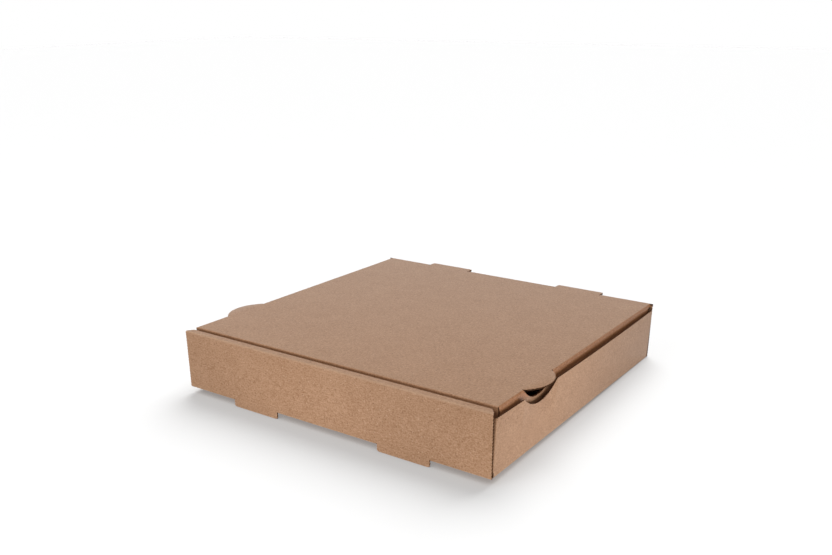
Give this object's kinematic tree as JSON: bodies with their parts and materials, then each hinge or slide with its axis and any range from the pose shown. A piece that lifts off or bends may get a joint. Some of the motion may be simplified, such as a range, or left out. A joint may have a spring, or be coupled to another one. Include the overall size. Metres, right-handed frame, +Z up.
{
  "type": "pizza box",
  "caption": "Flat square carton folded from one sheet of corrugated board, with a hinged tuck-in lid, a roll-over front wall, thumb tabs, front feet and rear vents.",
  "frame": {"origin": "middle of the whole box, under the feet", "axes": "+Z up, +Y towards the lid's fold at the back, +X to the right seen from the front"},
  "size_m": [0.325, 0.3131, 0.0586],
  "materials": {
    "kraft_board": "matte brown kraft paper with fine fibre flecks"
  },
  "bodies": {
    "tray": {"tray": "kraft_board"},
    "lid": {"lid": "kraft_board"}
  },
  "joints": [
    {"name": "lid_hinge", "type": "hinge", "parent": "tray", "child": "lid", "pos_m": [0, 0.14827, 0.05779], "axis": [-1, 0, 0], "range_deg": [0, 180]}
  ]
}
